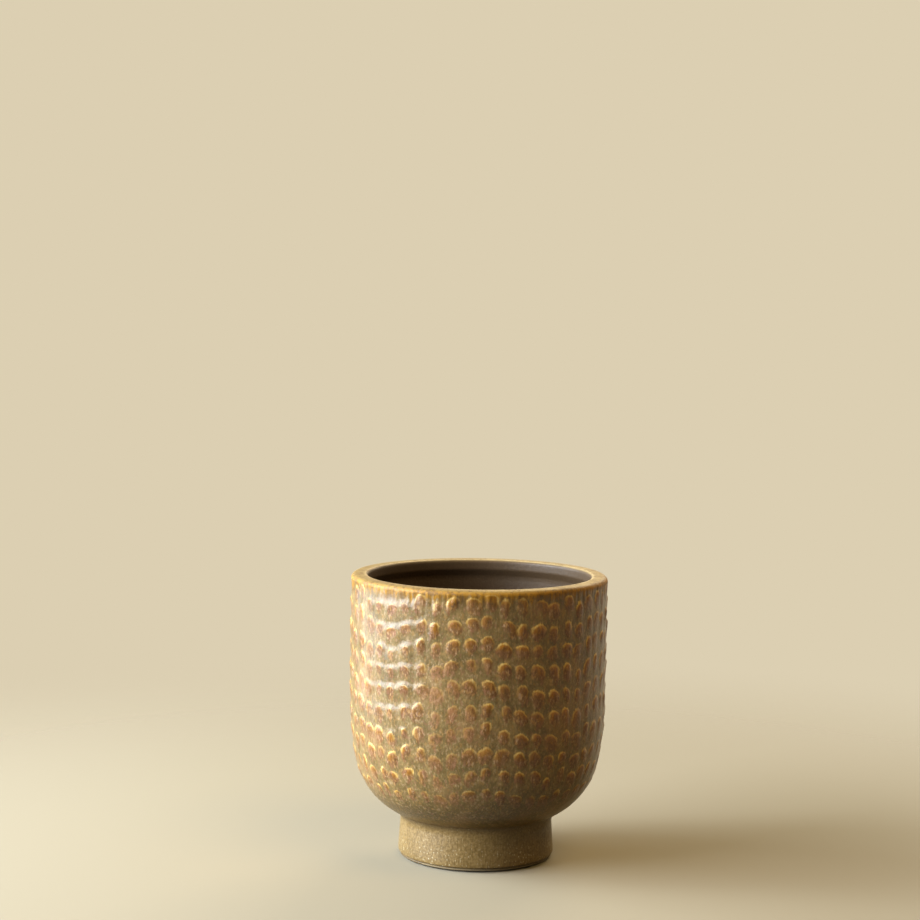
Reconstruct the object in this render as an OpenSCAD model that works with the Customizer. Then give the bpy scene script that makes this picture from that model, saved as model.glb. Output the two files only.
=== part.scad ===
// Footed planter pot: a thick stoneware bowl with a broad flat rim, standing on a
// short foot ring, with a lift-out stopper in the drain hole and four pads
// under the foot. Millimetres, +Z up, origin on the table under the centre.

/* [Bowl] */
// Outside diameter of the straight wall
mouth_d = 150; // [138:1:164]
// Height of the whole pot, from the table to the top of the rim
total_h = 166; // [145:1:200]
// Thickness of the wall
wall_t = 8; // [6:0.5:9]
// Thickness of the floor over the foot
floor_t = 8; // [7:0.5:12]
// Radius of the slow curve that draws the wall in
draw_r = 194; // [150:1:240]
// Angle that the slow curve turns through
draw_deg = 11; // [8:0.5:13]
// Radius of the rounded underside
turn_r = 44.5; // [42:0.5:48]

/* [Rim] */
// Thickness of the rim
rim_w = 10; // [9.5:0.5:13]
// Rounding of the rim's outer edge
rim_edge_r = 3; // [2:0.5:4]
// Rounding of the rim's inner edge
rim_inner_r = 2; // [1:0.25:3]
// Height of the straight band inside the mouth
mouth_band_h = 4; // [3:0.5:6]
// Height of the slope under that band, back to the wall
lip_slope_h = 4; // [3:0.5:8]

/* [Foot] */
// Outside diameter of the foot ring where it meets the bowl
foot_d = 90; // [82:1:96]
// Height of the foot ring
foot_h = 25; // [18:1:32]
// Thickness of the foot ring
foot_wall = 9; // [8:0.5:12]
// How far the foot ring leans out on its way down
foot_flare = 0.6; // [0:0.1:1.5]
// Rounding of the foot ring's lower edges
foot_edge_r = 2; // [1:0.25:2.5]
// How far the bowl stands out past the top of the foot ring
foot_ledge = 1; // [0.5:0.25:2]

/* [Drain stopper] */
// Diameter of the drain hole
hole_d = 14; // [10:1:18]
// Gap all round between the stopper and the hole
plug_gap = 0.1; // [0.05:0.05:0.2]
// How far the stopper's flange reaches past the hole
flange_reach = 4; // [3:0.5:6]
// Thickness of the stopper's flange
flange_t = 2.5; // [2:0.5:4]
// Rounding of the flange's upper edge
flange_edge_r = 1; // [0.5:0.25:1.5]
// Height of the taper at the stopper's lower end
tip_h = 2; // [1:0.5:4]
// How far that taper draws in
tip_in = 1; // [0.5:0.25:2]
// Diameter of the stopper's grip
grip_d = 9; // [7:0.5:12]
// Height of the stopper's grip above its flange
grip_h = 7; // [6:0.5:10]
// Radius of the round bead that the grip ends in
bead_r = 2; // [1.5:0.25:2.5]

/* [Pads] */
// Diameter of one pad
pad_d = 6; // [4:0.5:7]
// Thickness of one pad
pad_t = 1; // [0.5:0.25:2]

/* [Hidden] */
$fn = 96;

glaze_colour = "#7f6a42";
foot_colour = "#887856";
stopper_colour = "#5b5a56";
pad_colour = "#3c3b38";

mouth_r = mouth_d / 2;
foot_r = foot_d / 2;
foot_in_r = foot_r - foot_wall;
pad_count = 4;                  // evenly round the ring, one node each
pad_track_r = foot_r - foot_wall / 2;
foot_top = pad_t + foot_h;      // the seam between the foot ring and the bowl
floor_z = foot_top + floor_t;   // the floor inside the bowl
arc_steps = 24;

// The underside is one arc that starts where the slow curve ends and stops
// where it meets the foot, foot_ledge outside the ring.
turn_cr = mouth_r - draw_r * (1 - cos(draw_deg)) - turn_r * cos(draw_deg);
turn_end = acos((foot_r + foot_ledge - turn_cr) / turn_r);
turn_cz = foot_top + turn_r * sin(turn_end);
draw_cr = mouth_r - draw_r;
draw_cz = turn_cz + (draw_r - turn_r) * sin(draw_deg);   // the straight wall starts here

// The inner curves share those centres, one wall further in.
inner_turn_r = turn_r - wall_t;
inner_end = asin((turn_cz - floor_z) / inner_turn_r);

// Points on a circle about [cr, cz], with the angle counted down from outward.
function arc(cr, cz, r, from, to) =
    [for (i = [0 : arc_steps])
        let (a = from + (to - from) * i / arc_steps)
        [cr + r * cos(a), cz - r * sin(a)]];

mouth_in_r = mouth_r - rim_w;
band_top = total_h - rim_inner_r;
band_bottom = band_top - mouth_band_h;

module bowl_section() {
    polygon(concat(
        [[hole_d / 2, foot_top]],
        arc(turn_cr, turn_cz, turn_r, turn_end, draw_deg),
        arc(draw_cr, draw_cz, draw_r, draw_deg, 0),
        arc(mouth_r - rim_edge_r, total_h - rim_edge_r, rim_edge_r, 0, -90),
        arc(mouth_in_r + rim_inner_r, band_top, rim_inner_r, -90, -180),
        [[mouth_in_r, band_bottom],
         [mouth_r - wall_t, band_bottom - lip_slope_h]],
        arc(draw_cr, draw_cz, draw_r - wall_t, 0, draw_deg),
        arc(turn_cr, turn_cz, inner_turn_r, draw_deg, inner_end),
        [[hole_d / 2, floor_z]]
    ));
}

// Thrown bowl: straight wall, broad rim, round underside and a drilled floor.
module bowl() {
    color(glaze_colour) rotate_extrude() bowl_section();
}

// Foot ring: a collar of clay joined under the bowl, with eased lower edges.
module foot_ring() {
    color(foot_colour) rotate_extrude() polygon(concat(
        [[foot_in_r, foot_top], [foot_r, foot_top]],
        arc(foot_r + foot_flare - foot_edge_r, pad_t + foot_edge_r, foot_edge_r, 0, 90),
        arc(foot_in_r + foot_edge_r, pad_t + foot_edge_r, foot_edge_r, 90, 180)
    ));
}

plug_r = hole_d / 2 - plug_gap;
flange_r = hole_d / 2 + flange_reach;
neck_r = grip_d / 2 - bead_r;
grip_top = flange_t + grip_h;

// Stopper: a soft bung with a flange that lies on the floor and a bead to pull.
module drain_stopper() {
    color(stopper_colour) translate([0, 0, floor_z]) {
        rotate_extrude() polygon(concat(
            [[0, -floor_t], [plug_r - tip_in, -floor_t],
             [plug_r, tip_h - floor_t], [plug_r, 0], [flange_r, 0]],
            arc(flange_r - flange_edge_r, flange_t - flange_edge_r, flange_edge_r, 0, -90),
            [[neck_r, flange_t]],
            arc(neck_r, grip_top - bead_r, bead_r, 90, -90),
            [[0, grip_top]]
        ));
    }
}

// One pad, pressed on under the middle of the ring's wall.
module foot_pad(i) {
    color(pad_colour) rotate([0, 0, (i + 0.5) * 360 / pad_count])
        translate([pad_track_r, 0, 0]) cylinder(h = pad_t, d = pad_d);
}

bowl();
foot_ring();
drain_stopper();
foot_pad(0);  // foot_pad_1
foot_pad(1);  // foot_pad_2
foot_pad(2);  // foot_pad_3
foot_pad(3);  // foot_pad_4
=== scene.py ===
import math
import bmesh
import bpy
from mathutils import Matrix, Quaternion, Vector


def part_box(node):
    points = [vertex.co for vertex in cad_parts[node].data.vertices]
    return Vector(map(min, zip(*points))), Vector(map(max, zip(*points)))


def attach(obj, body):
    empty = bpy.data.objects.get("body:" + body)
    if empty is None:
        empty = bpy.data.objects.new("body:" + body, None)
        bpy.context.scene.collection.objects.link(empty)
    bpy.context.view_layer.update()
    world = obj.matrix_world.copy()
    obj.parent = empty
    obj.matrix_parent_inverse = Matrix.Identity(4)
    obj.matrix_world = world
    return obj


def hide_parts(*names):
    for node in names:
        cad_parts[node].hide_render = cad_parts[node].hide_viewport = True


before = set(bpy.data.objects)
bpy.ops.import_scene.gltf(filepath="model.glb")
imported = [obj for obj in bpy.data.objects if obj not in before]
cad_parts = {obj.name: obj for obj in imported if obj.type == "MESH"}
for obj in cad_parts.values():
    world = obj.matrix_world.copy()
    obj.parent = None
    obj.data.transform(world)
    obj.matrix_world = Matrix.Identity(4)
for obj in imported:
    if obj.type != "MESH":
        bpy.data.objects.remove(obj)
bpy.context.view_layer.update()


# Bowl
# Stoneware, thrown with a straight wall, a broad flat rim and a round underside. While the clay
# was soft, a round-ended tool was pressed into the wall over and over in rows, and the
# whole pot was dipped in a reactive glaze that runs thin and amber over every raised edge.

mm = 0.001
bowl_low, bowl_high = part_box("bowl")
wall_r = bowl_high.x / mm
rim_top = bowl_high.z / mm
seam_z = bowl_low.z / mm
wall_t, floor_t = 8.0, 8.0
floor_z = seam_z + floor_t
draw_r, draw_angle = 194.0, math.radians(11)    # the slow curve that draws the wall in
turn_r = 44.5                                   # the rounded underside
seam_r = 46.0
rim_w, rim_edge_r, rim_inner_r = 10.0, 3.0, 2.0
lip_band_h, lip_slope_h = 4.0, 4.0
hole_r, hole_edge_r = 7.0, 0.8

turn_cr = wall_r - draw_r * (1 - math.cos(draw_angle)) - turn_r * math.cos(draw_angle)
turn_end = math.acos((seam_r - turn_cr) / turn_r)
turn_cz = seam_z + turn_r * math.sin(turn_end)
draw_cr = wall_r - draw_r
draw_cz = turn_cz + (draw_r - turn_r) * math.sin(draw_angle)
inner_end = math.asin((turn_cz - floor_z) / (turn_r - wall_t))
band_top = rim_top - rim_inner_r
band_bottom = band_top - lip_band_h

fine_columns, plain_columns = 512, 128          # faces round the pressed wall, and elsewhere
fine_step, plain_step = 0.9, 3.0


def arc(cr, cz, r, start, end, step):
    """Points on a circle about (cr, cz), with the angle counted down from outward."""
    count = max(2, round(abs(end - start) * r / step))
    angles = [start + (end - start) * i / count for i in range(count + 1)]
    return [(cr + r * math.cos(a), cz - r * math.sin(a)) for a in angles]


def line(start, end, step):
    """Points along a straight stretch, without its first one."""
    count = max(1, round(math.dist(start, end) / step))
    return [tuple(s + (e - s) * i / count for s, e in zip(start, end)) for i in range(1, count + 1)]


def lathe(name, stretches):
    """A closed mesh turned about Z. Each stretch is (columns, points), and the last joins the first.
    A stretch of one column is a point on the axis.

    Every vertex keeps its turn (0 to 1, with the join at the back) and down, the distance in
    mm along the outline, below zero before the mark where down starts."""
    rings = [(columns, *point) for columns, points in stretches for point in points]
    starts, vertices, turns = [], [], []
    for columns, r, z, down in rings:
        starts.append(len(vertices))
        for k in range(columns):
            angle = math.tau * (k / columns - 0.5)
            vertices.append((r * math.sin(angle) * mm, -r * math.cos(angle) * mm, z * mm))
            turns.append((k / columns, down))
    faces = []
    for i, (columns, *_) in enumerate(rings):
        j = (i + 1) % len(rings)
        few, many, first, second = columns, rings[j][0], starts[i], starts[j]
        if few > many:
            few, many, first, second = many, few, second, first
        if few == 1:
            faces += [[first, second + (k + 1) % many, second + k] for k in range(many) if many > 1]
            continue
        share = many // few
        for k in range(few):
            far = [second + (k * share + n) % many for n in range(share, -1, -1)]
            faces.append([first + k, first + (k + 1) % few, *far])
    mesh = bpy.data.meshes.new(name)
    mesh.from_pydata(vertices, [], faces)
    for label, values in zip(("turn", "down"), zip(*turns)):
        mesh.attributes.new(label, "FLOAT", "POINT").data.foreach_set("value", values)
    shell = bmesh.new()
    shell.from_mesh(mesh)
    bmesh.ops.recalc_face_normals(shell, faces=shell.faces)
    shell.to_mesh(mesh)
    shell.free()
    mesh.polygons.foreach_set("use_smooth", [True] * len(mesh.polygons))
    piece = bpy.data.objects.new(name, mesh)
    bpy.context.scene.collection.objects.link(piece)
    return piece


def measured(points, down):
    """Adds to each point its distance along the outline, counted from down."""
    rows = []
    for i, point in enumerate(points):
        down += math.dist(points[i - 1], point) if i else 0
        rows.append((*point, down))
    return rows


straight_l = rim_top - rim_edge_r - draw_cz
wall_l = straight_l + draw_r * draw_angle + turn_r * (turn_end - draw_angle)
rim_l = rim_w + (rim_edge_r + rim_inner_r) * (math.pi / 2 - 1)
marks_end = 128.0                               # below this the wall is smooth
smooth_from = turn_end - (wall_l - marks_end) / turn_r

outside = [(wall_r, rim_top - rim_edge_r)]
outside += line(outside[-1], (wall_r, draw_cz), fine_step)
outside += arc(draw_cr, draw_cz, draw_r, 0, draw_angle, fine_step)[1:]
outside += arc(turn_cr, turn_cz, turn_r, draw_angle, smooth_from, fine_step)[1:]
outside += arc(turn_cr, turn_cz, turn_r, smooth_from, turn_end, fine_step * 2)[1:]
underneath = line((seam_r, seam_z), (hole_r + hole_edge_r, seam_z), plain_step)
underneath += arc(hole_r + hole_edge_r, seam_z + hole_edge_r, -hole_edge_r, -math.pi / 2, 0, 0.4)[1:]
inside = line((hole_r, seam_z + hole_edge_r), (hole_r, floor_z - hole_edge_r), 1.5)
inside += arc(hole_r + hole_edge_r, floor_z - hole_edge_r, -hole_edge_r, 0, math.pi / 2, 0.4)[1:]
inside += arc(turn_cr, turn_cz, turn_r - wall_t, inner_end, draw_angle, plain_step)
inside += arc(draw_cr, draw_cz, draw_r - wall_t, draw_angle, 0, plain_step)[1:]
inside += line(inside[-1], (wall_r - wall_t, band_bottom - lip_slope_h), plain_step)
inside += line(inside[-1], (wall_r - rim_w, band_bottom), 0.6)
lip = line(inside[-1], (wall_r - rim_w, band_top), 1.0)
lip += arc(wall_r - rim_w + rim_inner_r, band_top, rim_inner_r, math.pi, math.pi * 1.5, 0.5)[1:]
lip += line(lip[-1], (wall_r - rim_edge_r, rim_top), 1.0)
lip += arc(wall_r - rim_edge_r, rim_top - rim_edge_r, rim_edge_r, -math.pi / 2, 0, fine_step)[1:-1]

bowl = lathe("bowl_glazed", [
    (fine_columns, measured(outside, 0.0)),
    (plain_columns, measured(underneath, wall_l)),
    (plain_columns, measured(inside, -rim_l - 200)),
    (fine_columns, measured(lip, -rim_l - lip_band_h)),
])


def feed(tree, node, inputs):
    """Gives a node its inputs. Each one is a plain value, a socket, or a node's first output."""
    named = inputs.items() if isinstance(inputs, dict) else enumerate(inputs)
    for socket, value in named:
        if isinstance(value, bpy.types.Node):
            value = next(output for output in value.outputs if output.enabled)
        if isinstance(value, bpy.types.NodeSocket):
            tree.links.new(value, node.inputs[socket])
        else:
            node.inputs[socket].default_value = value


def add(tree, kind, inputs=(), **settings):
    """Adds a node with its settings and inputs."""
    node = tree.nodes.new(kind)
    for name, value in settings.items():
        setattr(node, name, value)
    feed(tree, node, inputs)
    return node


def new_material(name):
    """A material with its node tree and its main shader."""
    material = bpy.data.materials.new(name)
    material.use_nodes = True
    return material, material.node_tree, material.node_tree.nodes["Principled BSDF"]


def new_tree(name, kind, inputs, outputs):
    """A node group with named sockets, each given as name: (socket kind, default)."""
    tree = bpy.data.node_groups.new(name, kind)
    for direction, sockets in (("INPUT", inputs), ("OUTPUT", outputs)):
        for label, (socket, default) in sockets.items():
            made = tree.interface.new_socket(label, in_out=direction, socket_type=socket)
            if default is not None:
                made.default_value = default
    return tree, tree.nodes.new("NodeGroupInput").outputs, tree.nodes.new("NodeGroupOutput").inputs


def run_tree(piece, group, values):
    """Runs a node group on a piece, with values for some of its named inputs, and keeps the result."""
    modifier = piece.modifiers.new(group.name, "NODES")
    modifier.node_group = group
    for item in group.interface.items_tree:
        if item.in_out == "INPUT" and item.name in values:
            modifier[item.identifier] = values[item.name]
    dressed = piece.evaluated_get(bpy.context.evaluated_depsgraph_get())
    mesh = bpy.data.meshes.new_from_object(dressed)
    piece.modifiers.remove(modifier)
    piece.data = mesh


number, whole = "NodeSocketFloat", "NodeSocketInt"
mark_sizes = {
    "Columns": (number, 48.0), "Column pitch": (number, 9.8), "First row": (number, 0.6),
    "Row pitch": (number, 12.4), "Half width": (number, 3.7), "Edge": (number, 2.6),
    "Tail": (number, 13.0), "Ledge": (number, 0.0), "Dish": (number, 0.12),
    "Lean": (number, 0.16), "Stray": (number, 1.1),
    "Column drop": (number, 2.2), "Last row": (number, 9.0), "Seed": (whole, 7),
}
places = {label: (number, 0.0) for label in ("Turn", "Down", "Column step", "Row step")}
results = {label: (number, 0.0) for label in ("Height", "Within", "Fall", "Strength", "Claim")}
mark, given, made = new_tree("pressed_mark", "GeometryNodeTree", {**places, **mark_sizes}, results)
math_node, map_range, mix_node = "ShaderNodeMath", "ShaderNodeMapRange", "ShaderNodeMix"
noise_node, vector_math = "ShaderNodeTexNoise", "ShaderNodeVectorMath"
smooth, rgba = {"interpolation_type": "SMOOTHSTEP"}, {"data_type": "RGBA"}

# Which mark this is, counted in columns round the wall and rows down it.
across = add(mark, math_node, [given["Turn"], given["Columns"]], operation="MULTIPLY")
column = add(mark, math_node, [add(mark, math_node, [across], operation="FLOOR"), given["Column step"]])
below = add(mark, math_node, [given["Down"], given["First row"]], operation="SUBTRACT")
rows_below = add(mark, math_node, [below, given["Row pitch"]], operation="DIVIDE")
row = add(mark, math_node, [add(mark, math_node, [rows_below], operation="FLOOR"), given["Row step"]])
wrapped = add(mark, math_node, [column, given["Columns"]], operation="FLOORED_MODULO")
numbers_per_row = 97.0                          # more than the columns, so no two marks share one
ident = add(mark, math_node, [row, numbers_per_row, wrapped], operation="MULTIPLY_ADD")

# How far each press strayed from its place, how wide, long and deep it is, and how it leans.
# On a ledge they stray less.
chance = {}
depth_spread, even_depth = 0.28, 0.9
calm = add(mark, math_node, [given["Ledge"], -0.6, 1.0], operation="MULTIPLY_ADD")
for label, spread, share, by in (
        ("across", given["Stray"], calm, ident), ("down", given["Stray"], calm, ident),
        ("drop", given["Column drop"], calm, wrapped), ("lean", given["Lean"], calm, ident),
        ("width", 0.3, even_depth, ident), ("depth", depth_spread, even_depth, ident),
        ("tail", 0.2, calm, ident), ("arm", 2.5, calm, ident)):
    high = add(mark, math_node, [spread, share], operation="MULTIPLY")
    low = add(mark, math_node, [high, -1.0], operation="MULTIPLY")
    seed = add(mark, math_node, [given["Seed"], 11.0 * len(chance)])
    chance[label] = add(mark, "FunctionNodeRandomValue",
                        {"Min": low, "Max": high, "ID": by, "Seed": seed}, data_type="FLOAT")
width = add(mark, math_node, [given["Half width"], chance["width"], given["Half width"]],
            operation="MULTIPLY_ADD")
wider = add(mark, math_node, [given["Ledge"], 0.9, 1.0], operation="MULTIPLY_ADD")
width = add(mark, math_node, [width, wider], operation="MULTIPLY")
tail = add(mark, math_node, [given["Tail"], chance["tail"], given["Tail"]], operation="MULTIPLY_ADD")
depth = add(mark, math_node, [given["Ledge"], depth_spread, 1 - depth_spread], operation="MULTIPLY_ADD")
depth = add(mark, math_node, [chance["depth"], depth])

# Distance below the top of the mark, and to the side of its middle line, in mm.
fall = add(mark, math_node, [row, given["Row pitch"]], operation="MULTIPLY")
for away in (fall, chance["down"], chance["drop"]):
    below = add(mark, math_node, [below, away], operation="SUBTRACT")
fall = below
side = add(mark, math_node, [across, add(mark, math_node, [column, 0.5])], operation="SUBTRACT")
side = add(mark, math_node, [side, given["Column pitch"]], operation="MULTIPLY")
side = add(mark, math_node, [side, chance["across"]], operation="SUBTRACT")
side = add(mark, math_node, [side, add(mark, math_node, [chance["lean"], fall], operation="MULTIPLY")],
           operation="SUBTRACT")

# A tongue with a round top and straight sides: this is how far inside its edge a point lies.
# On a ledge the tops are wide and flat, so that a row runs together.
flat = add(mark, math_node, [given["Ledge"], 0.6, 1.0], operation="MULTIPLY_ADD")
above_middle = add(mark, math_node, [fall, flat], operation="MULTIPLY")
above_middle = add(mark, math_node, [above_middle, width], operation="SUBTRACT")
above_middle = add(mark, math_node, [above_middle, 0.0], operation="MINIMUM")
off = add(mark, "ShaderNodeCombineXYZ", [side, above_middle])
off = add(mark, vector_math, [off], operation="LENGTH").outputs["Value"]
within = add(mark, math_node, [width, off], operation="SUBTRACT")
edge = add(mark, math_node, [given["Ledge"], 0.8, 1.0], operation="MULTIPLY_ADD")
edge = add(mark, math_node, [given["Edge"], edge], operation="MULTIPLY")
dome = add(mark, map_range, {"Value": within, "From Max": edge}, **smooth)
hollow = add(mark, map_range, {"Value": within, "From Min": edge, "From Max": width}, **smooth)
fade = add(mark, math_node, [fall, tail], operation="DIVIDE")
fade = add(mark, math_node, [1.0, fade], operation="SUBTRACT", use_clamp=True)
real = add(mark, math_node, [row, add(mark, math_node, [given["Last row"], 0.5])], operation="LESS_THAN")
first = add(mark, math_node, [row, -0.5], operation="GREATER_THAN")
real = add(mark, math_node, [real, first], operation="MULTIPLY")
strength = add(mark, math_node, [depth, real], operation="MULTIPLY")

height = add(mark, math_node, [hollow, given["Dish"]], operation="MULTIPLY")
height = add(mark, math_node, [dome, height], operation="SUBTRACT")
for share in (fade, strength):
    height = add(mark, math_node, [height, share], operation="MULTIPLY")

# One arm of the arch runs further down than the other.
arm = add(mark, math_node, [side], operation="SIGN")
arm = add(mark, math_node, [arm, chance["arm"]], operation="MULTIPLY")

# A mark claims the wall it covers, over any mark of a row above, and shares it with its neighbours.
claim_reach, row_claim, least_claim = -1.6, 40.0, 100.0
covered = add(mark, math_node, [within, claim_reach], operation="GREATER_THAN")
claim = add(mark, math_node, [row, row_claim, least_claim], operation="MULTIPLY_ADD")
claim = add(mark, math_node, [claim, within])
for share in (covered, real):
    claim = add(mark, math_node, [claim, share], operation="MULTIPLY")

# The coloured part narrows from here down, and on a ledge it is smaller and lower.
narrow_from, narrow_rate = 7.0, -0.8
past = add(mark, math_node, [fall, narrow_from], operation="SUBTRACT")
past = add(mark, math_node, [past, 0.0], operation="MAXIMUM")
within = add(mark, math_node, [past, narrow_rate, within], operation="MULTIPLY_ADD")
drawn_in = add(mark, math_node, [side], operation="ABSOLUTE")
drawn_in = add(mark, math_node, [drawn_in, 0.55, 2.9], operation="MULTIPLY_ADD")
drawn_in = add(mark, math_node, [drawn_in, given["Ledge"]], operation="MULTIPLY")
within = add(mark, math_node, [within, drawn_in], operation="SUBTRACT")
fall = add(mark, math_node, [given["Ledge"], 1.0, fall], operation="MULTIPLY_ADD")
fall = add(mark, math_node, [fall, arm], operation="SUBTRACT")
for label, value in (("Height", height), ("Within", within), ("Strength", strength), ("Claim", claim),
                     ("Fall", fall)):
    mark.links.new(value.outputs[0], made[label])

wall_sizes = {
    "Depth": (number, 1.2), "Proud": (number, 0.78), "Runs": (number, 0.4), "Wander": (number, 3.5),
    "Warp": (number, 3.4), "Wave": (number, 2.6), "Rim edge": (number, -3.5),
    "Smooth bottom": (number, 112.0), "Bottom fade": (number, 14.0), "Lumps": (number, 0.5),
    "Faint turn": (number, 0.462), "Faint down": (number, 60.0), "Faint radius": (number, 29.0),
    "Ledge turn": (number, 0.381), "Glaze": ("NodeSocketMaterial", None),
}
shape = {"Bowl": ("NodeSocketGeometry", None)}
wall, given, made = new_tree("pressed_wall", "GeometryNodeTree",
                             {**shape, **mark_sizes, **wall_sizes}, shape)
turn, down = (add(wall, "GeometryNodeInputNamedAttribute", {"Name": label}, data_type="FLOAT")
              for label in ("turn", "down"))

# The rows wander a little, and dip four times on their way round.
dips, drift_scale = 4, 34.0                     # the drift swings about every 29 mm
dip = add(wall, math_node, [turn, dips * math.tau], operation="MULTIPLY")
dip = add(wall, math_node, [dip], operation="COSINE")
dip = add(wall, math_node, [dip, given["Wave"]], operation="MULTIPLY")
drift = add(wall, noise_node, {"Scale": drift_scale, "Detail": 1.0})
drift = add(wall, math_node, [drift, 0.5], operation="SUBTRACT")
drift = add(wall, math_node, [drift, given["Wander"]], operation="MULTIPLY")
level = add(wall, math_node, [down, dip])
level = add(wall, math_node, [drift, 2.0, level], operation="MULTIPLY_ADD")

# Soft clay gives under the tool, so that no two outlines are the same.
give_size = 7.0
give = add(wall, noise_node, {"Scale": 1 / (give_size * mm), "Detail": 1.0}).outputs["Color"]
give = add(wall, vector_math, [give, (0.5, 0.5, 0.5)], operation="SUBTRACT")
give = add(wall, "ShaderNodeSeparateXYZ", [give]).outputs
warp = add(wall, math_node, [given["Warp"], math.tau * wall_r], operation="DIVIDE")
bent_turn = add(wall, math_node, [give["X"], warp, turn], operation="MULTIPLY_ADD")
level = add(wall, math_node, [give["Y"], given["Warp"], level], operation="MULTIPLY_ADD")

# To one side of the front, and across from it at the back, the rows run together into ledges.
# The ledges get narrower from halfway down, and the first ones sit lower than the rows beside them.
ledges, full_width_to, narrowing = 2, 45.0, -0.0045
first_drop, settled_at = -2.8, 50.0
swing = add(wall, math_node, [turn, given["Ledge turn"]], operation="SUBTRACT")
swing = add(wall, math_node, [swing, ledges * math.tau], operation="MULTIPLY")
swing = add(wall, math_node, [swing], operation="COSINE")
swing = add(wall, math_node, [drift, 0.16, swing], operation="MULTIPLY_ADD")
lower = add(wall, math_node, [down, full_width_to], operation="SUBTRACT")
lower = add(wall, math_node, [lower, 0.0], operation="MAXIMUM")
swing = add(wall, math_node, [lower, narrowing, swing], operation="MULTIPLY_ADD")
ledge = add(wall, map_range, {"Value": swing, "From Min": 0.8, "From Max": 0.975,
                              "To Min": given["Ledge"]}, **smooth)
lowered = add(wall, map_range, {"Value": down, "From Max": settled_at, "To Min": first_drop,
                                "To Max": 0.0})
level = add(wall, math_node, [lowered, ledge, level], operation="MULTIPLY_ADD")

# The nine marks around each point: their heights are joined, and the strongest claim colours it.
best = {"Height": 0.0, "Within": -9.0, "Fall": 0.0, "Strength": 0.0, "Claim": 1.0}
for column_step in (-1.0, 0.0, 1.0):
    for row_step in (-1.0, 0.0, 1.0):
        placed = {name: given[name] for name in mark_sizes}
        placed.update({"Turn": bent_turn, "Down": level, "Column step": column_step, "Row step": row_step,
                       "Ledge": ledge})
        one = add(wall, "GeometryNodeGroup", placed, node_tree=mark)
        wins = add(wall, math_node, [one.outputs["Claim"], best["Claim"]], operation="GREATER_THAN")
        for label in ("Within", "Fall", "Strength"):
            best[label] = add(wall, mix_node, {"Factor": wins, "A": best[label],
                                               "B": one.outputs[label]}, data_type="FLOAT")
        best["Claim"] = add(wall, math_node, [best["Claim"], one.outputs["Claim"]], operation="MAXIMUM")
        cubed = add(wall, math_node, [one.outputs["Height"], 3.0], operation="POWER")
        best["Height"] = add(wall, math_node, [best["Height"], cubed])
best["Height"] = add(wall, math_node, [best["Height"], 1 / 3], operation="POWER")

# In one place the tool was hardly pressed in. It reaches further down than up.
faint_core, faint_share = 7.0, 0.35
faint_side = add(wall, math_node, [turn, given["Faint turn"]], operation="SUBTRACT")
faint_side = add(wall, math_node, [faint_side, math.tau * wall_r], operation="MULTIPLY")
faint_fall = add(wall, math_node, [down, given["Faint down"]], operation="SUBTRACT")
faint_up, faint_down = (add(wall, math_node, [faint_fall, s], operation="MULTIPLY") for s in (0.6, 0.25))
faint_fall = add(wall, math_node, [faint_up, faint_down], operation="MINIMUM")
faint = add(wall, "ShaderNodeCombineXYZ", [faint_side, faint_fall])
faint = add(wall, vector_math, [faint], operation="LENGTH").outputs["Value"]
firm = add(wall, map_range, {"Value": faint, "From Min": faint_core, "From Max": given["Faint radius"],
                             "To Min": faint_share}, **smooth)

# The wall keeps its own level on the rim and under the last row, and sinks between the marks,
# less so lower down.
full_from, lump_scale = 4.4, 45.0               # the lumps are about 22 mm apart
from_rim = add(wall, map_range, {"Value": down, "From Min": given["Rim edge"], "From Max": full_from},
               **smooth)
last = add(wall, math_node, [given["Smooth bottom"], given["Bottom fade"]])
from_foot = add(wall, map_range,
                {"Value": down, "From Min": last, "From Max": given["Smooth bottom"]}, **smooth)
pressed = add(wall, math_node, [from_rim, from_foot], operation="MULTIPLY")
lumps = add(wall, noise_node, {"Scale": lump_scale, "Detail": 1.0})
lumps = add(wall, math_node, [lumps, 0.6], operation="SUBTRACT")
lumps = add(wall, math_node, [lumps, given["Lumps"]], operation="MULTIPLY")
sink = add(wall, math_node, [best["Height"], firm, lumps], operation="MULTIPLY_ADD")
sink = add(wall, math_node, [sink, 1.0], operation="SUBTRACT")
sink = add(wall, math_node, [sink, 0.0], operation="MINIMUM")
sink = add(wall, math_node, [sink, given["Depth"], given["Proud"]], operation="MULTIPLY_ADD")
shallow = add(wall, map_range, {"Value": down, "From Min": 55.0, "From Max": 110.0,
                                "To Min": 1.0, "To Max": 0.52}, **smooth)
for share in (pressed, shallow):
    sink = add(wall, math_node, [sink, share], operation="MULTIPLY")

# Where the glaze ran off the rim it left thin upright runs.
run_w = 2.2
runs = add(wall, vector_math, [add(wall, "GeometryNodeInputPosition"), (1, 1, 0.1)], operation="MULTIPLY")
runs = add(wall, noise_node, {"Vector": runs, "Scale": 1 / (run_w * mm), "Detail": 1.0})
runs = add(wall, map_range, {"Value": runs, "From Min": 0.42, "From Max": 0.6,
                             "To Min": 1.0, "To Max": 0.0}, **smooth)
for start, end in ((-3.6, 0.0), (10.0, 3.0)):
    near_rim = add(wall, map_range, {"Value": down, "From Min": start, "From Max": end}, **smooth)
    runs = add(wall, math_node, [runs, near_rim], operation="MULTIPLY")
run_depth = add(wall, math_node, [runs, given["Runs"]], operation="MULTIPLY")
sink = add(wall, math_node, [sink, run_depth], operation="SUBTRACT")
sink = add(wall, math_node, [sink, mm], operation="MULTIPLY")
outward = add(wall, "GeometryNodeInputNormal")
offset = add(wall, vector_math, {0: outward, "Scale": sink}, operation="SCALE")
kept = add(wall, "GeometryNodeSetPosition", {"Geometry": given["Bowl"], "Offset": offset})

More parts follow.
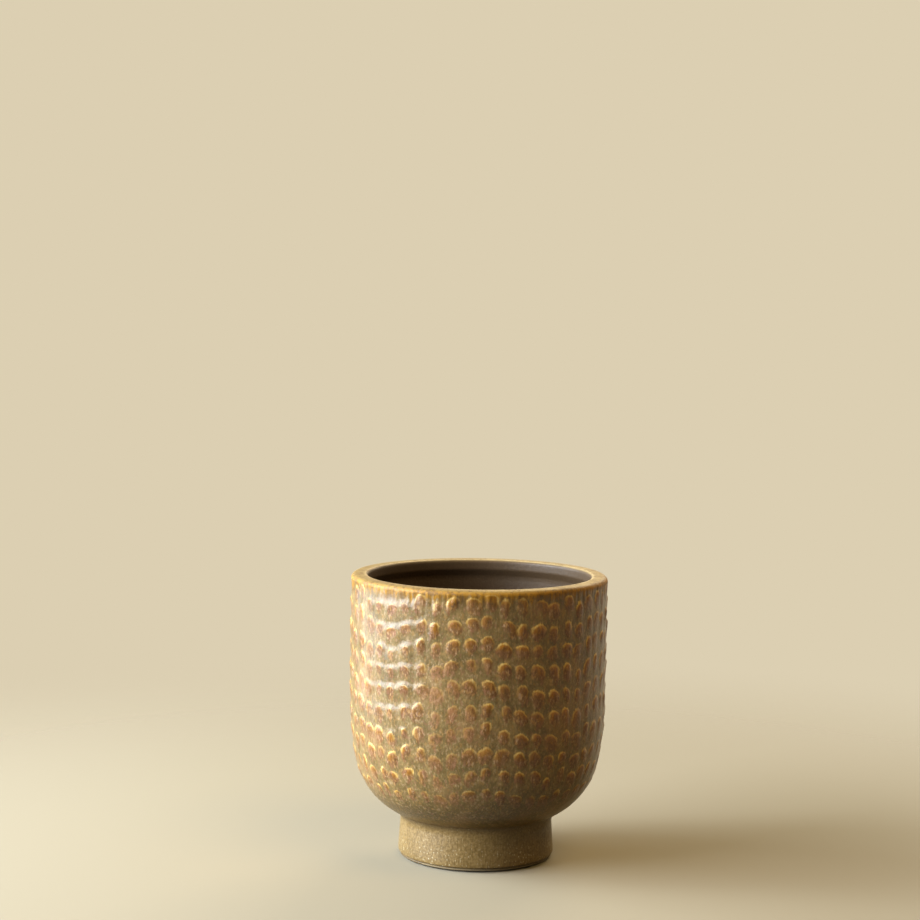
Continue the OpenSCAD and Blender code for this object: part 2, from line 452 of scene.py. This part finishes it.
# The glaze is coloured by how far inside a mark it lies, how far below its top, and how firm it is.
shown = add(wall, math_node, [from_foot, firm], operation="MULTIPLY")
strength = add(wall, math_node, [best["Strength"], shown], operation="MULTIPLY")
for label, value in (("within", best["Within"]), ("fall", best["Fall"]), ("firm", strength),
                     ("runs", runs)):
    kept = add(wall, "GeometryNodeStoreNamedAttribute",
               {"Geometry": kept, "Name": label, "Value": value}, data_type="FLOAT", domain="POINT")
whole_bowl = add(wall, "GeometryNodeRealizeInstances", [kept])
finished = add(wall, "GeometryNodeSetMaterial", {"Geometry": whole_bowl, "Material": given["Glaze"]})
wall.links.new(finished.outputs[0], made["Bowl"])


def colour(hex_value):
    """A linear RGBA colour from an sRGB hex one."""
    parts = [int(hex_value[i:i + 2], 16) / 255 for i in (1, 3, 5)]
    return (*[c / 12.92 if c <= 0.04045 else ((c + 0.055) / 1.055) ** 2.4 for c in parts], 1.0)


# Reactive glaze on stoneware, dipped and fired glossy. It lies olive-grey in the hollows, turns
# brown and a little mauve on the marks, and breaks to amber on their caps and to a thin honey
# line along their crests. The brown below each cap is partly painted shade, and the honey crest
# line partly painted highlight. Fine streaks and cream specks show how it ran down.
glaze, tree, shader = new_material("reactive_glaze_stoneware")
place = add(tree, "ShaderNodeTexCoord").outputs["Object"]
upright = add(tree, "ShaderNodeMapping", {"Vector": place, "Scale": (1, 1, 0.16)})
half = add(tree, "ShaderNodeMapping", {"Vector": place, "Scale": (1, 1, 0.6)})
field = {name: add(tree, "ShaderNodeAttribute", attribute_name=name).outputs["Fac"]
         for name in ("within", "fall", "firm", "down", "runs")}
noises = {}
for label, vector, size, detail, shift in (     # the size of each in mm
        ("streaks", upright, 0.9, 2.0, 0.0), ("mauve", upright, 1.8, 2.0, 4.0),
        ("drifts", place, 7.0, 3.0, 0.0), ("patches", place, 24.0, 2.0, 9.0),
        ("peel", place, 1.3, 2.0, 2.0), ("flecks", half, 1.3, 2.0, 6.0), ("grains", half, 1.5, 2.0, 8.0)):
    noise = add(tree, noise_node, {"Vector": vector, "W": shift, "Scale": 1 / (size * mm),
                                   "Detail": detail}, noise_dimensions="4D")
    noises[label] = add(tree, map_range, {"Value": noise, "From Min": 0.3, "From Max": 0.7,
                                          "To Min": -1.0}).outputs["Result"]
within = add(tree, math_node, [noises["streaks"], 0.15, field["within"]], operation="MULTIPLY_ADD")
within = add(tree, math_node, [noises["flecks"], 0.3, within], operation="MULTIPLY_ADD")
fall = add(tree, math_node, [noises["streaks"], 0.8, field["fall"]], operation="MULTIPLY_ADD")
fall = add(tree, math_node, [noises["drifts"], 1.2, fall], operation="MULTIPLY_ADD")
smaller = add(tree, map_range, {"Value": field["down"], "From Min": 80.0, "From Max": 125.0,
                                "To Max": 1.8})
fall = add(tree, math_node, [fall, smaller])

# Where along the outline (down, in mm), in which patches and on how firm a mark each thing shows.
spans = {}
for label, value, start, end, least, most in (
        ("wall", field["down"], -3.2, -1.0, 0.0, 1.0), ("rim", field["down"], -12.5, -10.5, 0.0, 1.0),
        ("drier", field["down"], 1.6, -1.2, 0.0, 0.2), ("thick", field["down"], 112.0, 134.0, 0.0, 0.7),
        ("worn", field["firm"], 0.6, 0.2, 0.0, 0.75), ("rubbed", noises["flecks"], -0.5, 0.5, 0.0, 1.0),
        ("patchy", noises["drifts"], -0.8, 0.4, 0.45, 1.0),
        ("specked", noises["drifts"], -0.1, 0.6, 0.0, 0.35),
        ("redder", noises["patches"], 0.0, 0.9, 0.0, 0.3)):
    spans[label] = add(tree, map_range, {"Value": value, "From Min": start, "From Max": end,
                                         "To Min": least, "To Max": most}, **smooth)

# Each zone of a mark, as a span of within (mm) times a span of fall (mm).
never = (90.0, 91.0)                            # further inside than any mark goes
zones = {}
for label, (in_from, in_to), (out_from, out_to), (end, start) in (
        ("pool", (-1.6, -0.6), (-0.6, 0.2), (2.0, 0.0)),
        ("body", (-0.6, 1.0), never, (12.5, 7.0)),
        ("cap", (-0.3, 1.1), never, (6.4, 2.4)),
        ("crest", (-0.3, 0.5), (0.6, 1.6), (5.5, 1.5))):
    rise, drop, upper = (
        add(tree, map_range, {"Value": value, "From Min": nothing, "From Max": full}, **smooth)
        for value, nothing, full in (
            (within, in_from, in_to), (within, out_to, out_from), (fall, end, start)))
    zone = add(tree, math_node, [rise, drop], operation="MULTIPLY")
    zone = add(tree, math_node, [zone, upper], operation="MULTIPLY")
    firm = add(tree, math_node, [field["firm"], 0.4 if label == "body" else 1.0], operation="POWER")
    zone = add(tree, math_node, [zone, spans["wall"]], operation="MULTIPLY")
    zones[label] = add(tree, math_node, [zone, firm], operation="MULTIPLY").outputs[0]

# The rim, seen across it: the inside painted dark as painted shade, a painted highlight along its inner
# edge, khaki top, golden edge.
rim_at = add(tree, map_range, {"Value": field["down"], "From Min": -14.0, "From Max": 0.0})
rim_ramp = add(tree, "ShaderNodeValToRGB", [rim_at])
# The two darkest stops are painted shade over the whole inside, and the pale stop at 0.2 is a painted
# highlight on the rounded inner edge.
rim_stops = [(0.0, "#4b3a27"), (0.1, "#57442e"), (0.2, "#ccb585"), (0.3, "#a18959"),
             (0.68, "#a0854f"), (0.82, "#b98732"), (1.0, "#b2812e")]
elements = rim_ramp.color_ramp.elements
elements.remove(elements[1])
elements[0].position, elements[0].color = rim_stops[0][0], colour(rim_stops[0][1])
for at, hex_value in rim_stops[1:]:
    stop = elements.new(at)
    stop.color = colour(hex_value)
mottle = add(tree, math_node, [noises["drifts"], 0.7, noises["flecks"]], operation="MULTIPLY_ADD")
mottle = add(tree, map_range, {"Value": mottle, "From Min": -0.3, "From Max": 0.9,
                               "To Max": 0.75}, **smooth)
mottle = add(tree, math_node, [mottle, spans["rim"]], operation="MULTIPLY")
rim_colour_and_painted_light = add(tree, mix_node,
                {"Factor": mottle, "A": rim_ramp.outputs["Color"], "B": colour("#6e5331")},
                **rgba).outputs["Result"]
# Past the rim this lays the rim colour over the whole inside too, with its painted shade.
drips = add(tree, math_node, [noises["mauve"], 3.2, field["down"]], operation="MULTIPLY_ADD")
drips = add(tree, math_node, [noises["streaks"], 1.2, drips], operation="MULTIPLY_ADD")
drips = add(tree, map_range, {"Value": drips, "From Min": 4.6, "From Max": -0.4}, **smooth)
groove = add(tree, math_node, [field["runs"], 0.5], operation="MULTIPLY")

# Cream specks come in drifts, and pale dribbles and flecks of four colours lie on the marks.
speck_pitch = 2.2
speck = add(tree, "ShaderNodeTexVoronoi", {"Vector": half, "Scale": 1 / (speck_pitch * mm)})
speck = add(tree, map_range, {"Value": speck, "From Min": 0.26, "From Max": 0.14}, **smooth)
speck = add(tree, math_node, [speck, spans["specked"]], operation="MULTIPLY")
dribble = add(tree, math_node, [noises["streaks"], noises["mauve"]], operation="MULTIPLY")
dribble = add(tree, map_range, {"Value": dribble, "From Min": 0.2, "From Max": 0.8,
                                "To Max": 0.7}, **smooth)
dribble = add(tree, math_node, [dribble, zones["body"]], operation="MULTIPLY")
on_marks = add(tree, math_node, [zones["body"], 0.4, 0.62], operation="MULTIPLY_ADD")
flecks = {}
for label, source, (start, end), most in (
        ("pale", "flecks", (0.2, 0.9), 0.6), ("dark", "flecks", (-0.1, -0.8), 0.5),
        ("amber", "grains", (0.2, 0.8), 0.55), ("rosy", "grains", (-0.2, -0.8), 0.6)):
    fleck = add(tree, map_range, {"Value": noises[source], "From Min": start, "From Max": end,
                                  "To Max": most}, **smooth)
    flecks[label] = add(tree, math_node, [fleck, on_marks], operation="MULTIPLY")

# The caps and crests are broken up, and where the tool was hardly pressed in, the marks look
# rubbed. Under the last row, where the bowl turns under, it is painted darker as painted shade.
broken = add(tree, math_node, [noises["flecks"], 0.22, 0.78], operation="MULTIPLY_ADD")
broken = add(tree, math_node, [noises["mauve"], 0.18, broken], operation="MULTIPLY_ADD", use_clamp=True)
for label in ("cap", "crest"):
    zones[label] = add(tree, math_node, [zones[label], broken], operation="MULTIPLY")
# The honey crest line is partly the glaze's thin break and partly painted highlight, made lighter as if
# the light caught the top of each mark.
zones["crest"] = add(tree, math_node, [zones["crest"], spans["patchy"]], operation="MULTIPLY")
zones["crest"] = add(tree, math_node, [zones["crest"], 1.5], operation="MULTIPLY", use_clamp=True)
worn = spans["worn"]
for share in (zones["body"], spans["rubbed"]):
    worn = add(tree, math_node, [worn, share], operation="MULTIPLY")

# The brown body below each cap is partly painted shade: it is darker so that the marks look domed.
shades = {}
for label, lean_to, one_hex, other_hex in (
        ("hollow", "drifts", "#6a5934", "#90794d"), ("body", "mauve", "#6a441f", "#8d6646"),
        ("cap", "streaks", "#834e0c", "#b07a28"), ("crest", "streaks", "#d6a54c", "#e4ce8a")):
    share = add(tree, math_node, [noises[lean_to], 0.5, 0.5], operation="MULTIPLY_ADD")
    shades[label] = add(tree, mix_node,
                        {"Factor": share, "A": colour(one_hex), "B": colour(other_hex)},
                        **rgba).outputs["Result"]
mixed = shades["hollow"]
pool = add(tree, math_node, [zones["pool"], 0.6], operation="MULTIPLY")
# Painted shade: below the last row, where the bowl turns under, the glaze is painted darker.
for factor, shade in (
        (spans["thick"], colour("#58461d")), (pool, colour("#877f54")), (zones["body"], shades["body"]),
        (flecks["dark"], colour("#5f451d")), (flecks["pale"], colour("#bd9f7b")),
        (flecks["amber"], colour("#b88c55")), (flecks["rosy"], colour("#996c51")),
        (speck, colour("#d1b488")), (dribble, colour("#dcb28a")), (spans["redder"], colour("#9c7650")),
        (worn, colour("#9b6c4e")), (drips, rim_colour_and_painted_light), (groove, colour("#4f3818")),
        (zones["cap"], shades["cap"]), (zones["crest"], shades["crest"])):
    mixed = add(tree, mix_node, {"Factor": factor, "A": mixed, "B": shade}, **rgba).outputs["Result"]
lightness = 1.0
for label, share in (("streaks", 0.06), ("patches", 0.08), ("flecks", 0.07)):
    lightness = add(tree, math_node, [noises[label], share, lightness], operation="MULTIPLY_ADD")
mixed = add(tree, "ShaderNodeHueSaturation", {"Color": mixed, "Value": lightness, "Saturation": 1.03})

# Glossy, but a little drier on the rim, where the glaze is thin. The skin of the glaze has a
# fine orange peel and follows its streaks.
gloss_rough, peel_h = 0.33, 0.034
rough = add(tree, math_node, [noises["drifts"], 0.04, gloss_rough], operation="MULTIPLY_ADD")
rough = add(tree, math_node, [spans["drier"], rough])
relief = add(tree, math_node, [noises["streaks"], 0.5, noises["peel"]], operation="MULTIPLY_ADD")
bump = add(tree, "ShaderNodeBump", {"Height": relief, "Strength": 1.0, "Distance": peel_h * mm})
feed(tree, shader, {"Base Color": mixed, "Roughness": rough, "IOR": 1.5, "Specular IOR Level": 0.4,
                    "Normal": bump})

run_tree(bowl, wall, {"Glaze": glaze})
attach(bowl, "pot")
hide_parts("bowl")


# Foot ring
# A short ring of the same stoneware, thrown on its own and luted under the bowl with slip,
# which leaves a soft hollow at the seam. It is dipped in the glaze and its lower edge wiped.

foot_low, foot_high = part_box("foot_ring")
foot_r = foot_high.x / mm
foot_bottom = foot_low.z / mm
foot_flare, foot_wall, foot_edge_r = 0.6, 9.0, 1.2
clay_lip_h = 1.3                                # the glaze was wiped off this far up
inner_r, inner_edge_r = foot_r - foot_wall, 1.2

# The hollow at the seam is a soft curve from under the bowl to the neck of the foot.
seam_angle, slip_r = turn_end - 0.045, turn_r - 0.1
seam_out = (turn_cr + slip_r * math.cos(seam_angle), turn_cz - slip_r * math.sin(seam_angle))
neck = (foot_r - foot_flare - 0.5, seam_z - 5.0)
corner = (foot_r - foot_flare - 0.3, seam_z - 0.6)
foot_outline = []
for t in (i / 8 for i in range(9)):
    weights = ((1 - t) ** 2, 2 * t * (1 - t), t ** 2)
    foot_outline.append(tuple(sum(w * v for w, v in zip(weights, values))
                              for values in zip(seam_out, corner, neck)))
glaze_edge_z = foot_bottom + clay_lip_h + foot_edge_r
foot_outline += line(neck, (foot_r, glaze_edge_z + 2.0), 1.2)
foot_outline += arc(foot_r - foot_edge_r, glaze_edge_z, foot_edge_r, 0, math.radians(84), 0.3)

# The glaze ends in a small bead, and the bare lip below it stands a millimetre further in.
foot_outline += [(foot_r - inward, foot_bottom + up) for inward, up in (
    (1.36, 1.2), (1.42, 0.95), (1.06, 0.8), (1.0, 0.65), (1.0, 0.25), (1.2, 0.05), (1.5, 0.0))]
foot_outline += line(foot_outline[-1], (inner_r + inner_edge_r, foot_bottom), 1.5)
foot_outline += arc(inner_r + inner_edge_r, foot_bottom + inner_edge_r, inner_edge_r,
                    math.pi / 2, math.pi, 0.5)[1:]
foot_outline += line(foot_outline[-1], (inner_r, seam_z + 0.2), 3.0)
foot_outline += line(foot_outline[-1], (seam_out[0] - 2.0, seam_z + 0.2), 3.0)
foot = lathe("foot_ring_glazed", [(256, measured(foot_outline, 0.0))])

# A thrown ring is never quite round, and leans in and out by a tenth of a millimetre or two.
held_h = 8.0                                    # so near to the seam, the bowl keeps it round
for vertex in foot.data.vertices:
    angle = math.atan2(vertex.co.x, -vertex.co.y)
    free = min(1.0, max(0.0, (seam_z - vertex.co.z / mm) / held_h))
    swell = (0.14 * math.sin(2 * angle + 0.6) + 0.08 * math.sin(5 * angle + 2.0)) * free * mm
    vertex.co.xy += vertex.co.xy.normalized() * swell

# The glaze on the foot is thinner and drier, so it is a satin khaki with fine streaks and many
# cream specks. Below its wavering edge the bare clay shows matt and buff.
foot_glaze, tree, shader = new_material("satin_glaze_and_bare_stoneware")
place = add(tree, "ShaderNodeTexCoord").outputs["Object"]
upright = add(tree, "ShaderNodeMapping", {"Vector": place, "Scale": (1, 1, 0.12)})
noises = {}
for label, vector, size, detail, shift in (     # the size of each in mm
        ("streaks", upright, 0.8, 2.0, 1.0), ("drifts", place, 9.0, 3.0, 5.0),
        ("edge", place, 5.0, 2.0, 3.0), ("grit", place, 0.5, 2.0, 0.0), ("flecks", place, 1.4, 3.0, 7.0)):
    noise = add(tree, noise_node, {"Vector": vector, "W": shift, "Scale": 1 / (size * mm),
                                   "Detail": detail}, noise_dimensions="4D")
    noises[label] = add(tree, map_range, {"Value": noise, "From Min": 0.3, "From Max": 0.7,
                                          "To Min": -1.0}).outputs["Result"]
across, _, height = add(tree, "ShaderNodeSeparateXYZ", [place]).outputs
height = add(tree, math_node, [height, 1 / mm], operation="MULTIPLY")

# The specks show most low down, and in drifts.
speck_pitch = 1.5
tall = add(tree, "ShaderNodeMapping", {"Vector": place, "Scale": (1, 1, 0.75)})
speck = add(tree, "ShaderNodeTexVoronoi", {"Vector": tall, "Scale": 1 / (speck_pitch * mm)})
speck = add(tree, map_range, {"Value": speck, "From Min": 0.34, "From Max": 0.12}, **smooth)
specked = add(tree, map_range, {"Value": noises["drifts"], "From Min": -0.5, "From Max": 0.7,
                                "To Min": 0.2, "To Max": 1.0})
few_from, all_from = foot_bottom + 16.0, foot_bottom + 7.0
low = add(tree, map_range, {"Value": height, "From Min": few_from, "From Max": all_from,
                            "To Min": 0.25}, **smooth)
for share in (specked, low):
    speck = add(tree, math_node, [speck, share], operation="MULTIPLY")
share = add(tree, math_node, [noises["streaks"], 0.2, 0.5], operation="MULTIPLY_ADD")
share = add(tree, math_node, [noises["drifts"], 0.25, share], operation="MULTIPLY_ADD")
share = add(tree, math_node, [noises["flecks"], 0.75, share], operation="MULTIPLY_ADD", use_clamp=True)
khaki = add(tree, mix_node, {"Factor": share, "A": colour("#71592d"), "B": colour("#8f7547")},
            **rgba).outputs["Result"]
# Painted shade: the top of the foot, just under the bowl, is painted darker.
upper = add(tree, map_range, {"Value": height, "From Min": seam_z - 5.0,
                              "From Max": seam_z + 0.5, "To Max": 0.75}, **smooth)

# Bare clay shows below a wavering line. At one side some glaze was left on the lip, but none on
# the flat underside. Just above the line the glaze pools and is darker.
clay_z, bare_from, bare_to, flat_z = foot_bottom + clay_lip_h - 0.3, -33.0, -30.5, foot_bottom + 0.1
clay_line = add(tree, math_node, [noises["edge"], 0.15, clay_z], operation="MULTIPLY_ADD")
rise = add(tree, math_node, [height, clay_line], operation="SUBTRACT")
bare = add(tree, map_range, {"Value": rise, "From Min": 0.12, "From Max": -0.12}, **smooth)
to_side = add(tree, math_node, [noises["edge"], 2.5 * mm, across], operation="MULTIPLY_ADD")
wiped = add(tree, map_range, {"Value": to_side, "From Min": bare_from * mm,
                              "From Max": bare_to * mm}, **smooth)
under = add(tree, map_range, {"Value": height, "From Min": flat_z + 0.2, "From Max": flat_z})
wiped = add(tree, math_node, [wiped, under], operation="MAXIMUM")
bare = add(tree, math_node, [bare, wiped], operation="MULTIPLY")
pooled = add(tree, map_range, {"Value": rise, "From Min": 1.1, "From Max": 0.2, "To Max": 0.7}, **smooth)
mixed = khaki
for factor, shade in ((upper, colour("#5c4a2e")), (speck, colour("#cdbd98")),
                      (pooled, colour("#5e4a2c")), (bare, colour("#8c7a5a"))):
    mixed = add(tree, mix_node, {"Factor": factor, "A": mixed, "B": shade}, **rgba).outputs["Result"]
satin_rough, drier_clay, grain_h = 0.42, 0.35, 0.04
rough = add(tree, math_node, [bare, drier_clay, satin_rough], operation="MULTIPLY_ADD")
relief = add(tree, math_node, [noises["grit"], 0.5, noises["streaks"]], operation="MULTIPLY_ADD")
relief = add(tree, math_node, [bare, -2.0, relief], operation="MULTIPLY_ADD")
bump = add(tree, "ShaderNodeBump", {"Height": relief, "Strength": 1.0, "Distance": grain_h * mm})
feed(tree, shader, {"Base Color": mixed, "Roughness": rough, "IOR": 1.5, "Specular IOR Level": 0.35,
                    "Normal": bump})
foot.data.materials.append(foot_glaze)
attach(foot, "pot")
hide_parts("foot_ring")


# Drain stopper
# A soft moulded silicone bung, pushed into the drain hole from above and pulled out by its
# waisted grip. The moulded solid is right as it is, so it only gets its material.

# Silicone rubber is a cloudy mid grey, half matt, with the fine grain of its mould.
silicone, tree, shader = new_material("grey_silicone_rubber")
cloud_size, grain_size, grain_h = 4.0, 0.35, 0.03
place = add(tree, "ShaderNodeTexCoord").outputs["Object"]
bloom = add(tree, noise_node, {"Vector": place, "Scale": 1 / (cloud_size * mm), "Detail": 3.0})
mixed = add(tree, mix_node, {"Factor": bloom, "A": colour("#5b5a56"), "B": colour("#74726c")},
            **rgba).outputs["Result"]
rough = add(tree, map_range, {"Value": bloom, "To Min": 0.45, "To Max": 0.7})
grain = add(tree, noise_node, {"Vector": place, "Scale": 1 / (grain_size * mm), "Detail": 2.0})
bump = add(tree, "ShaderNodeBump", {"Height": grain, "Strength": 0.6, "Distance": grain_h * mm})
feed(tree, shader, {"Base Color": mixed, "Roughness": rough, "IOR": 1.41, "Normal": bump})
for material_slot in bpy.data.objects["drain_stopper"].material_slots:
    material_slot.material = silicone


# Foot pads
# Four discs of pressed wool felt, 6 mm across and 1 mm thick, stuck on under the foot ring so
# that the bare clay doesn't scratch the furniture.

pad_low, pad_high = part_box("foot_pad_1")
pad_r, pad_t = (pad_high.x - pad_low.x) / 2 / mm, (pad_high.z - pad_low.z) / mm
pad_at = (pad_low + pad_high) / 2 / mm
pad_outline = line((0, pad_t / 2), (pad_r - 0.7, pad_t / 2), 0.6)
pad_outline += [(pad_r - 0.2, pad_t * 0.4), (pad_r - 0.02, pad_t * 0.15), (pad_r, -pad_t * 0.2)]
pad_outline += line((pad_r - 0.1, -pad_t / 2), (0, -pad_t / 2), 0.6)[:-1]
pads = lathe("felt_pads", [(1, [(0, pad_t / 2, 0)]), (40, measured(pad_outline, 0.0)),
                           (1, [(0, -pad_t / 2, 0)])])

ring, given, made = new_tree(
    "pads_in_a_ring", "GeometryNodeTree",
    {"Pad": ("NodeSocketGeometry", None), "Count": (whole, 4), "Track radius": (number, 40.5),
     "First angle": (number, 45.0), "Level": (number, 0.5), "Fluff": (number, 0.06), "Seed": (whole, 3),
     "Felt": ("NodeSocketMaterial", None)}, {"Pads": ("NodeSocketGeometry", None)})
track, level = (add(ring, math_node, [given[label], mm], operation="MULTIPLY")
                for label in ("Track radius", "Level"))
angle = add(ring, math_node, [given["First angle"], math.pi / 180], operation="MULTIPLY")
spin = add(ring, "FunctionNodeRandomValue", {"Max": math.tau, "Seed": given["Seed"]}, data_type="FLOAT")
level, angle, spin = (add(ring, "ShaderNodeCombineXYZ", [0.0, 0.0, upward])
                      for upward in (level, angle, spin))

# A pad lies at each place on the ring, turned at random, with a slightly fluffy surface.
spots = add(ring, "GeometryNodeMeshCircle", {"Vertices": given["Count"], "Radius": track})
spots = add(ring, "GeometryNodeTransform", {"Geometry": spots, "Translation": level, "Rotation": angle})
laid = add(ring, "GeometryNodeInstanceOnPoints",
           {"Points": spots, "Instance": given["Pad"], "Rotation": spin})
laid = add(ring, "GeometryNodeRealizeInstances", [laid])
tuft = 0.7
fluff = add(ring, noise_node, {"Scale": 1 / (tuft * mm), "Detail": 2.0})
fluff = add(ring, math_node, [fluff, 1.0], operation="SUBTRACT")
for share in (given["Fluff"], mm):
    fluff = add(ring, math_node, [fluff, share], operation="MULTIPLY")
fluff = add(ring, vector_math, {0: add(ring, "GeometryNodeInputNormal"), "Scale": fluff},
            operation="SCALE")
laid = add(ring, "GeometryNodeSetPosition", {"Geometry": laid, "Offset": fluff})
laid = add(ring, "GeometryNodeSetMaterial", {"Geometry": laid, "Material": given["Felt"]})
ring.links.new(laid.outputs[0], made["Pads"])

# Pressed wool felt, a charcoal grey flecked with lighter hairs, fully matt with a soft sheen.
felt, tree, shader = new_material("charcoal_wool_felt")
hair_size, hair_h = 0.25, 0.06
place = add(tree, "ShaderNodeTexCoord").outputs["Object"]
hairs = add(tree, noise_node, {"Vector": place, "Scale": 1 / (hair_size * mm), "Detail": 3.0,
                               "Distortion": 1.5})
hairs = add(tree, map_range, {"Value": hairs, "From Min": 0.35, "From Max": 0.65})
mixed = add(tree, mix_node, {"Factor": hairs, "A": colour("#2b2a28"), "B": colour("#4d4b47")},
            **rgba).outputs["Result"]
bump = add(tree, "ShaderNodeBump", {"Height": hairs, "Strength": 1.0, "Distance": hair_h * mm})
feed(tree, shader, {"Base Color": mixed, "Roughness": 0.95, "IOR": 1.5, "Sheen Weight": 0.3,
                    "Normal": bump})

run_tree(pads, ring, {"Track radius": pad_at.xy.length, "Level": pad_at.z, "Felt": felt,
                      "First angle": math.degrees(math.atan2(pad_at.y, pad_at.x))})
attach(pads, "pot")
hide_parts("foot_pad_1", "foot_pad_2", "foot_pad_3", "foot_pad_4")


# Floor, light and camera
# A plain pale floor fades into a pale background, which the gloss of the glaze shows too. The
# key, a small window and a wide wall panel light the pot from its left, and two weak warm
# panels fill in, one from above the camera and one from behind.


def by_ray(tree, cast, seen):
    """One colour for the light that it casts on the pot, and one for what camera and gloss see."""
    ray = add(tree, "ShaderNodeLightPath").outputs
    looks = add(tree, math_node, [ray["Is Camera Ray"], ray["Is Transmission Ray"]], operation="MAXIMUM")
    looks = add(tree, math_node, [looks, ray["Is Glossy Ray"]], operation="MAXIMUM")
    both = add(tree, mix_node, {"Factor": looks, "A": colour(cast), "B": colour(seen)}, **rgba)
    return both.outputs["Result"]


# Matt paper, pale and a little warm. It fades out away from the pot, so that no edge shows.
paper, tree, shader = new_material("studio_paper")
feed(tree, shader, {"Base Color": by_ray(tree, "#4c4430", "#a69d87"), "Roughness": 0.85})
place = add(tree, "ShaderNodeTexCoord").outputs["Object"]
fade_from, fade_to = 0.2, 0.7                   # in metres from the pot's middle
far = add(tree, vector_math, [place], operation="LENGTH").outputs["Value"]
far = add(tree, map_range, {"Value": far, "From Min": fade_from, "From Max": fade_to}, **smooth)
clear = add(tree, "ShaderNodeBsdfTransparent")
shown = add(tree, "ShaderNodeMixShader", [far, shader, clear])
feed(tree, tree.nodes["Material Output"], {"Surface": shown})

floor_r, floor_sides = 2.5, 64
floor_mesh = bpy.data.meshes.new("studio_floor")
corners = [(floor_r * math.cos(a), floor_r * math.sin(a), 0)
           for a in (math.tau * k / floor_sides for k in range(floor_sides))]
floor_mesh.from_pydata(corners, [], [list(range(floor_sides))])
floor_mesh.materials.append(paper)
floor = bpy.data.objects.new("studio_floor", floor_mesh)
bpy.context.scene.collection.objects.link(floor)

# Azimuth 0 is at the camera, and positive is to its right. Each is a square panel aimed at the pot.
for name, azimuth, elevation, distance, size, watts, tint in (      # in degrees and metres
        ("key_left", -72, 18, 1.6, 1.25, 65.5, "#f0f6fe"),
        ("window_left", -97, 31, 1.6, 0.7, 15, "#f2fbff"),
        ("wall_left", -104, 12, 1.6, 1.4, 34, "#dff0ff"),
        ("fill_front", 50, 60, 2.4, 1.2, 18.5, "#ffd88c"),
        ("fill_back", 158, 32, 2.4, 1.2, 26, "#ffe9c4")):
    data = bpy.data.lights.new(name, "AREA")
    data.shape, data.size, data.energy, data.color = "SQUARE", size, watts, colour(tint)[:3]
    lamp = bpy.data.objects.new(name, data)
    turned, raised = math.radians(azimuth), math.radians(elevation)
    back = Vector((math.sin(turned) * math.cos(raised), -math.cos(turned) * math.cos(raised),
                   math.sin(raised)))
    lamp.location = Vector((0, 0, 0.09)) + back * distance
    lamp.rotation_euler = (-back).to_track_quat("-Z", "Y").to_euler()
    bpy.context.scene.collection.objects.link(lamp)

# Like the floor, the background casts less light than it shows.
world = bpy.data.worlds.new("studio")
world.use_nodes = True
bpy.context.scene.world = world
tree = world.node_tree
feed(tree, tree.nodes["Background"], {"Color": by_ray(tree, "#392f18", "#dccfb2")})

camera_data = bpy.data.cameras.new("camera")
camera_data.lens, camera_data.sensor_width = 85, 36
camera_data.clip_start = 0.05
camera = bpy.data.objects.new("camera", camera_data)
camera.location = (-12.3 * mm, -1260.5 * mm, 333.9 * mm)
tilt, roll = math.radians(90 - 4.6), math.radians(0.79)
camera.rotation_mode = "QUATERNION"
camera.rotation_quaternion = Quaternion((1, 0, 0), tilt) @ Quaternion((0, 0, 1), roll)
bpy.context.scene.collection.objects.link(camera)
bpy.context.scene.camera = camera
bpy.context.scene.view_settings.view_transform = "Standard"
